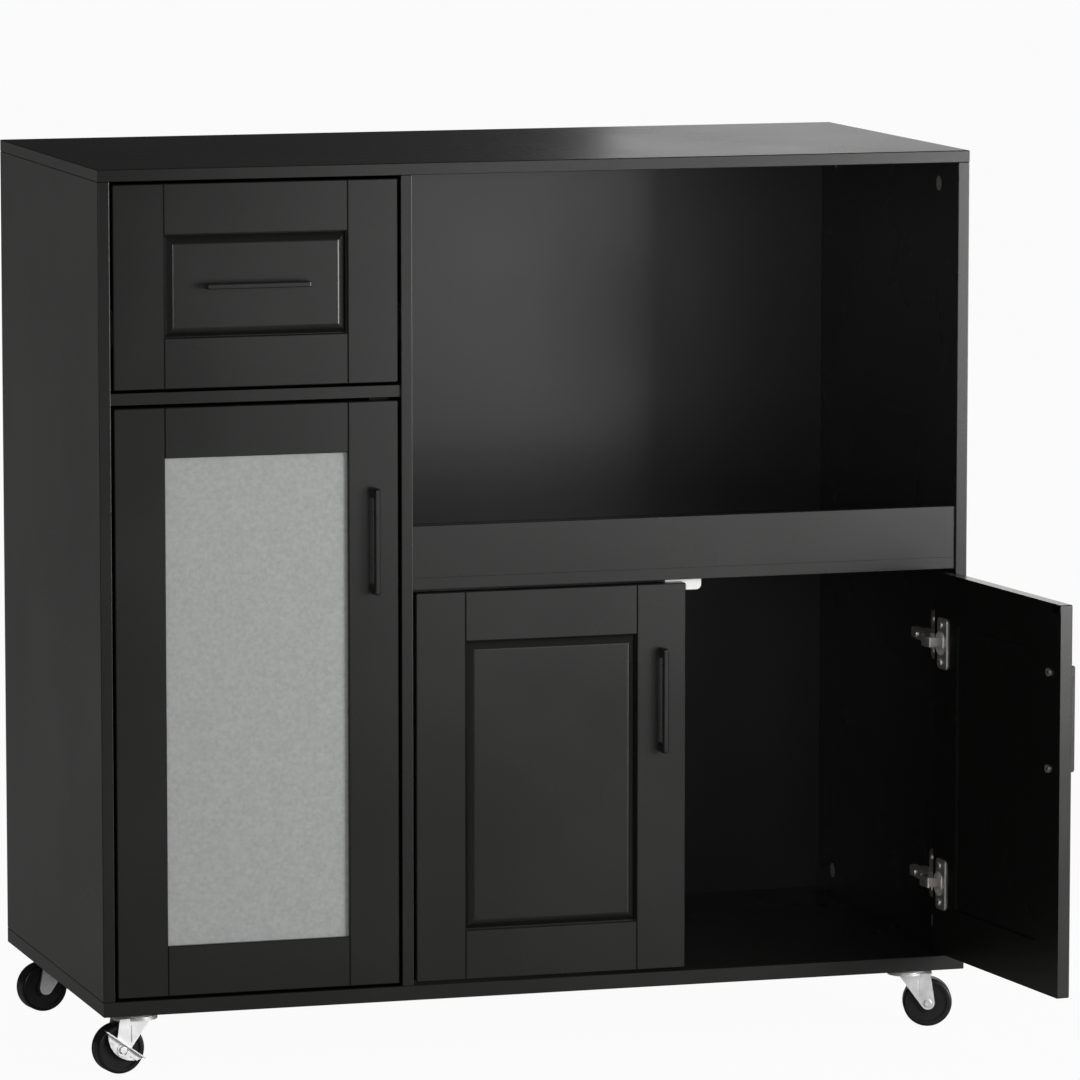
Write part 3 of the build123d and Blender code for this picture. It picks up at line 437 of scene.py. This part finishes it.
def dress(names, material):
    """Give CAD nodes a finished material."""
    for name in names:
        node = frame["nodes"][name]
        if not node.material_slots:
            node.data.materials.append(material)
        for slot in node.material_slots:
            slot.material = material


def nodes_in_slot(slot):
    """Names of the CAD nodes that the record puts in a material slot."""
    names = [part["node"] for part in frame["record"]["subparts"] if part["material_slot"] == slot]
    if not names:
        raise RuntimeError(f"no CAD node is in the material slot {slot}")
    return names


# Small modelled pieces

def finish_piece(name, work, material, body):
    """Turn a bmesh into an object that rides on a body."""
    bmesh.ops.remove_doubles(work, verts=work.verts, dist=MERGE_DISTANCE)
    bmesh.ops.recalc_face_normals(work, faces=work.faces)
    mesh = bpy.data.meshes.new(name)
    work.to_mesh(mesh)
    work.free()
    mesh.materials.append(material)
    piece = bpy.data.objects.new(name, mesh)
    bpy.context.scene.collection.objects.link(piece)
    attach(piece, body)
    return piece


def add_cross(work, place, facing, radius):
    """Cross of painted shade on a screw's head, standing in for its recessed cross: a slim plus with a little
    thickness.
    """
    before = set(work.verts)
    grid = bmesh.ops.create_grid(work, x_segments=CROSS_CELLS, y_segments=CROSS_CELLS, size=radius)
    faces = {face for vert in grid["verts"] for face in vert.link_faces}
    arm_half = radius / CROSS_CELLS
    corners = [face for face in faces if min(abs(c) for c in face.calc_center_median()[:2]) > arm_half]
    bmesh.ops.delete(work, geom=corners, context="FACES")
    kept = [face for face in faces if face.is_valid]
    raised = bmesh.ops.extrude_face_region(work, geom=kept)
    lifted = [item for item in raised["geom"] if isinstance(item, bmesh.types.BMVert)]
    bmesh.ops.translate(work, verts=lifted, vec=(0, 0, CROSS_HEIGHT))
    made = [vert for vert in work.verts if vert not in before]
    turn = Vector((0, 0, 1)).rotation_difference(Vector(facing)).to_matrix().to_4x4()
    bmesh.ops.transform(work, matrix=Matrix.Translation(place) @ turn, verts=made)


# Operators

class SIDEBOARD_OT_boards(bpy.types.Operator):
    """Lacquer the boards, doors and drawer, and face the back and drawer box"""

    bl_idname = "sideboard.boards"
    bl_label = "Boards and Doors"

    def execute(self, context):
        tint = context.scene.sideboard_finishes
        lacquer = coated_material(
            "satin_lacquer", tint.lacquer, spread=0.25, broad=5.0, fine=520.0,
            rough=(0.24, 0.30), relief=0.02 * MM,
        )
        hardboard = coated_material(
            "painted_hardboard", tint.hardboard, spread=0.3, broad=9.0, fine=900.0,
            rough=(0.34, 0.42), relief=0.03 * MM,
        )
        melamine = coated_material(
            "dark_melamine", tint.melamine, spread=0.2, broad=12.0, fine=1200.0,
            rough=(0.42, 0.5), relief=0.03 * MM,
        )
        dress(nodes_in_slot("black_lacquer"), lacquer)
        dress(nodes_in_slot("black_hardboard"), hardboard)
        dress(nodes_in_slot("dark_melamine"), melamine)
        return {"FINISHED"}


class SIDEBOARD_OT_pane(bpy.types.Operator):
    """Frost the glazed door's pane"""

    bl_idname = "sideboard.pane"
    bl_label = "Frosted Pane"

    def execute(self, context):
        dress(nodes_in_slot("frosted_glass"), frosted_material(context.scene.sideboard_finishes.frosting))
        return {"FINISHED"}


class SIDEBOARD_OT_handles(bpy.types.Operator):
    """Coat the bar handles"""

    bl_idname = "sideboard.handles"
    bl_label = "Bar Handles"

    def execute(self, context):
        tint = context.scene.sideboard_finishes
        coat = coated_material(
            "satin_handle_coat", tint.handle_coat, spread=0.2, broad=30.0, fine=1500.0,
            rough=(0.26, 0.32), relief=0.02 * MM,
        )
        dress(nodes_in_slot("black_metal"), coat)
        return {"FINISHED"}


class SIDEBOARD_OT_hinges(bpy.types.Operator):
    """Plate the hinges and screws, and blacken the doors' strikes"""

    bl_idname = "sideboard.hinges"
    bl_label = "Hinges and Screws"

    def execute(self, context):
        tint = context.scene.sideboard_finishes
        plating = {"spread": 0.3, "rough": (0.4, 0.52), "relief": 0.01 * MM}
        dress(nodes_in_slot("nickel_steel"), plated_material("plated_nickel", tint.nickel, **plating))
        for door, level in STRIKE_LEVELS:
            fixings = plated_material(f"{door}_fixing_steel", tint.nickel, dark_above=level, **plating)
            dress([f"{door}_fixings"], fixings)
        return {"FINISHED"}


class SIDEBOARD_OT_recesses(bpy.types.Operator):
    """Put crosses of painted shade, standing in for the cross recesses, on the heads of the handle and hinge
    screws
    """

    bl_idname = "sideboard.recesses"
    bl_label = "Screw Recesses"

    def execute(self, context):
        tint = context.scene.sideboard_finishes
        # Painted shade for the crosses that stand in for the screws' recesses.
        shade = coated_material(
            "screw_recess", tint.painted_recess_shade, spread=0.4, broad=200.0, fine=2400.0,
            rough=(0.5, 0.65), relief=0.01 * MM,
        )
        for front in SCREWED_FRONTS:
            swing = Matrix.Translation(RIGHT_HINGE_LINE) @ Matrix.Rotation(front.turn, 4, "Z")
            swing = swing @ Matrix.Translation(-RIGHT_HINGE_LINE)
            facing = swing.to_3x3() @ Vector((0.0, 1.0, 0.0))
            work = bmesh.new()
            for x, z in front.handle_heads:
                add_cross(work, swing @ Vector((x, HANDLE_HEAD_BACK, z)), facing, HANDLE_CROSS_RADIUS)
            for x, z in front.cup_heads:
                add_cross(work, swing @ Vector((x, CUP_HEAD_BACK, z)), facing, CUP_CROSS_RADIUS)
            finish_piece(f"{front.body}_screw_recesses", work, shade, front.body)
        return {"FINISHED"}


class SIDEBOARD_OT_runners(bpy.types.Operator):
    """Plate the drawer runners and the casters' pressed steel"""

    bl_idname = "sideboard.runners"
    bl_label = "Runners and Pressings"

    def execute(self, context):
        tint = context.scene.sideboard_finishes
        zinc = plated_material("plated_zinc", tint.zinc, spread=0.4, rough=(0.42, 0.55), relief=0.015 * MM)
        dress(nodes_in_slot("zinc_steel"), zinc)
        return {"FINISHED"}


class SIDEBOARD_OT_catches(bpy.types.Operator):
    """Finish the magnetic catches"""

    bl_idname = "sideboard.catches"
    bl_label = "Magnetic Catches"

    def execute(self, context):
        tint = context.scene.sideboard_finishes
        plastic = coated_material(
            "catch_plastic", tint.catch_plastic, spread=0.08, broad=60.0, fine=1800.0,
            rough=(0.4, 0.5), relief=0.02 * MM,
        )
        black = coated_material(
            "black_catch_plastic", tint.tread, spread=0.2, broad=60.0, fine=1800.0,
            rough=(0.7, 0.8), relief=0.02 * MM, specular=0.2,
        )
        magnet = coated_material(
            "dull_magnet", tint.magnet, spread=0.3, broad=80.0, fine=1600.0,
            rough=(0.4, 0.55), relief=0.02 * MM,
        )
        dress(nodes_in_slot("white_plastic"), plastic)
        dress(nodes_in_slot("black_plastic"), black)
        dress(nodes_in_slot("magnet_steel"), magnet)
        return {"FINISHED"}


class SIDEBOARD_OT_casters(bpy.types.Operator):
    """Finish the moulded wheels"""

    bl_idname = "sideboard.casters"
    bl_label = "Caster Wheels"

    def execute(self, context):
        tint = context.scene.sideboard_finishes
        tread = coated_material(
            "moulded_wheel", tint.tread, spread=0.3, broad=40.0, fine=1100.0,
            rough=(0.26, 0.36), relief=0.03 * MM, specular=0.3,
        )
        dress(nodes_in_slot("black_tread"), tread)
        return {"FINISHED"}


# Studio pieces

def hang_soft_box(box, power):
    """Rectangular area light that faces a point."""
    light = bpy.data.lights.new(box.name, "AREA")
    light.shape = "RECTANGLE"
    light.size = box.width
    light.size_y = box.height
    light.energy = power
    lamp = bpy.data.objects.new(box.name, light)
    lamp.location = box.place
    lamp.rotation_euler = (Vector(box.target) - Vector(box.place)).to_track_quat("-Z", "Y").to_euler()
    lamp.visible_camera = False
    bpy.context.scene.collection.objects.link(lamp)


def room_background(nodes, strength):
    """White background shader of one strength."""
    background = nodes.new("ShaderNodeBackground")
    background.inputs["Color"].default_value = WHITE
    background.inputs["Strength"].default_value = strength
    return background


def light_room(studio):
    """World that is white to the camera, and a soft room, dimmer on its left, to the object."""
    world = bpy.data.worlds.new("studio_room")
    bpy.context.scene.world = world
    world.use_nodes = True
    nodes, links = world.node_tree.nodes, world.node_tree.links
    nodes.clear()
    path = nodes.new("ShaderNodeLightPath")
    way = nodes.new("ShaderNodeTexCoord")
    split = nodes.new("ShaderNodeSeparateXYZ")
    links.new(way.outputs["Generated"], split.inputs["Vector"])
    side = nodes.new("ShaderNodeMapRange")
    side.interpolation_type = "SMOOTHSTEP"
    side.inputs["From Min"].default_value = GLOSS_FROM
    side.inputs["From Max"].default_value = GLOSS_TO
    side.inputs["To Min"].default_value = studio.room_left
    side.inputs["To Max"].default_value = studio.room_right
    links.new(split.outputs["X"], side.inputs["Value"])
    even = room_background(nodes, studio.room_light)
    gloss = room_background(nodes, 1.0)
    links.new(side.outputs["Result"], gloss.inputs["Strength"])
    white = room_background(nodes, 1.0)
    first = nodes.new("ShaderNodeMixShader")
    links.new(path.outputs["Is Glossy Ray"], first.inputs["Fac"])
    links.new(even.outputs["Background"], first.inputs[1])
    links.new(gloss.outputs["Background"], first.inputs[2])
    seen = nodes.new("ShaderNodeMath")
    seen.operation = "MAXIMUM"
    links.new(path.outputs["Is Camera Ray"], seen.inputs[0])
    links.new(path.outputs["Is Transmission Ray"], seen.inputs[1])
    second = nodes.new("ShaderNodeMixShader")
    links.new(seen.outputs[0], second.inputs["Fac"])
    links.new(first.outputs["Shader"], second.inputs[1])
    links.new(white.outputs["Background"], second.inputs[2])
    output = nodes.new("ShaderNodeOutputWorld")
    links.new(second.outputs["Shader"], output.inputs["Surface"])


def lay_floor():
    """Pale studio floor that is near white to the camera and keeps the soft shadow."""
    work = bmesh.new()
    bmesh.ops.create_grid(work, x_segments=FLOOR_CELLS, y_segments=FLOOR_CELLS, size=FLOOR_HALF)
    mesh = bpy.data.meshes.new("studio_floor")
    work.to_mesh(mesh)
    work.free()
    floor = bpy.data.objects.new("studio_floor", mesh)
    bpy.context.scene.collection.objects.link(floor)
    material, shader = start_material("pale_floor")
    nodes, links = material.node_tree.nodes, material.node_tree.links
    shader.inputs["Base Color"].default_value = FLOOR_COLOR
    shader.inputs["Roughness"].default_value = FLOOR_ROUGHNESS
    shader.inputs["Specular IOR Level"].default_value = 0.0
    glow = nodes.new("ShaderNodeEmission")
    glow.inputs["Color"].default_value = WHITE
    path = nodes.new("ShaderNodeLightPath")
    share = nodes.new("ShaderNodeMath")
    share.operation = "MULTIPLY"
    share.inputs[1].default_value = FLOOR_GLOW_SHARE
    links.new(path.outputs["Is Camera Ray"], share.inputs[0])
    mix = nodes.new("ShaderNodeMixShader")
    links.new(share.outputs[0], mix.inputs["Fac"])
    links.new(shader.outputs["BSDF"], mix.inputs[1])
    links.new(glow.outputs["Emission"], mix.inputs[2])
    links.new(mix.outputs["Shader"], nodes["Material Output"].inputs["Surface"])
    mesh.materials.append(material)


def place_camera(scene, studio):
    """Camera at the photograph's viewing angle."""
    data = bpy.data.cameras.new("photo_camera")
    data.sensor_width = SENSOR_WIDTH
    data.lens = studio.lens
    data.clip_end = CLIP_END
    camera = bpy.data.objects.new("photo_camera", data)
    camera.location = studio.camera_place
    camera.rotation_euler = (math.pi / 2 - studio.camera_dip, 0.0, -studio.camera_turn)
    scene.collection.objects.link(camera)
    scene.camera = camera


class SIDEBOARD_OT_studio(bpy.types.Operator):
    """Set up the floor, the light and the camera"""

    bl_idname = "sideboard.studio"
    bl_label = "Studio"

    def execute(self, context):
        studio = context.scene.sideboard_studio
        light_room(studio)
        lay_floor()
        for box in SOFT_BOXES:
            hang_soft_box(box, getattr(studio, box.power))
        place_camera(context.scene, studio)
        context.scene.view_settings.view_transform = "Standard"
        return {"FINISHED"}


STEPS = (
    SIDEBOARD_OT_boards, SIDEBOARD_OT_pane, SIDEBOARD_OT_handles, SIDEBOARD_OT_hinges, SIDEBOARD_OT_recesses,
    SIDEBOARD_OT_runners, SIDEBOARD_OT_catches, SIDEBOARD_OT_casters, SIDEBOARD_OT_studio,
)


class SIDEBOARD_PT_panel(bpy.types.Panel):
    """Sidebar panel with the sideboard's steps and settings"""

    bl_idname = "SIDEBOARD_PT_panel"
    bl_label = "Rolling Sideboard"
    bl_space_type = "VIEW_3D"
    bl_region_type = "UI"
    bl_category = "Sideboard"

    def draw(self, context):
        for settings in (context.scene.sideboard_finishes, context.scene.sideboard_studio):
            box = self.layout.box()
            for name in settings.__annotations__:
                box.prop(settings, name)
        for step in STEPS:
            self.layout.operator(step.bl_idname)


CLASSES = (SideboardFinishes, SideboardStudio, *STEPS, SIDEBOARD_PT_panel)


def register():
    """Register the classes and their settings."""
    for item in CLASSES:
        bpy.utils.register_class(item)
    bpy.types.Scene.sideboard_finishes = bpy.props.PointerProperty(type=SideboardFinishes)
    bpy.types.Scene.sideboard_studio = bpy.props.PointerProperty(type=SideboardStudio)


def unregister():
    """Remove the settings and classes."""
    del bpy.types.Scene.sideboard_studio
    del bpy.types.Scene.sideboard_finishes
    for item in reversed(CLASSES):
        bpy.utils.unregister_class(item)


def main():
    """Dress the sideboard and set the studio."""
    register()
    bpy.ops.sideboard.boards()
    bpy.ops.sideboard.pane()
    bpy.ops.sideboard.handles()
    bpy.ops.sideboard.hinges()
    bpy.ops.sideboard.recesses()
    bpy.ops.sideboard.runners()
    bpy.ops.sideboard.catches()
    bpy.ops.sideboard.casters()
    bpy.ops.sideboard.studio()


if __name__ == "__main__":
    main()
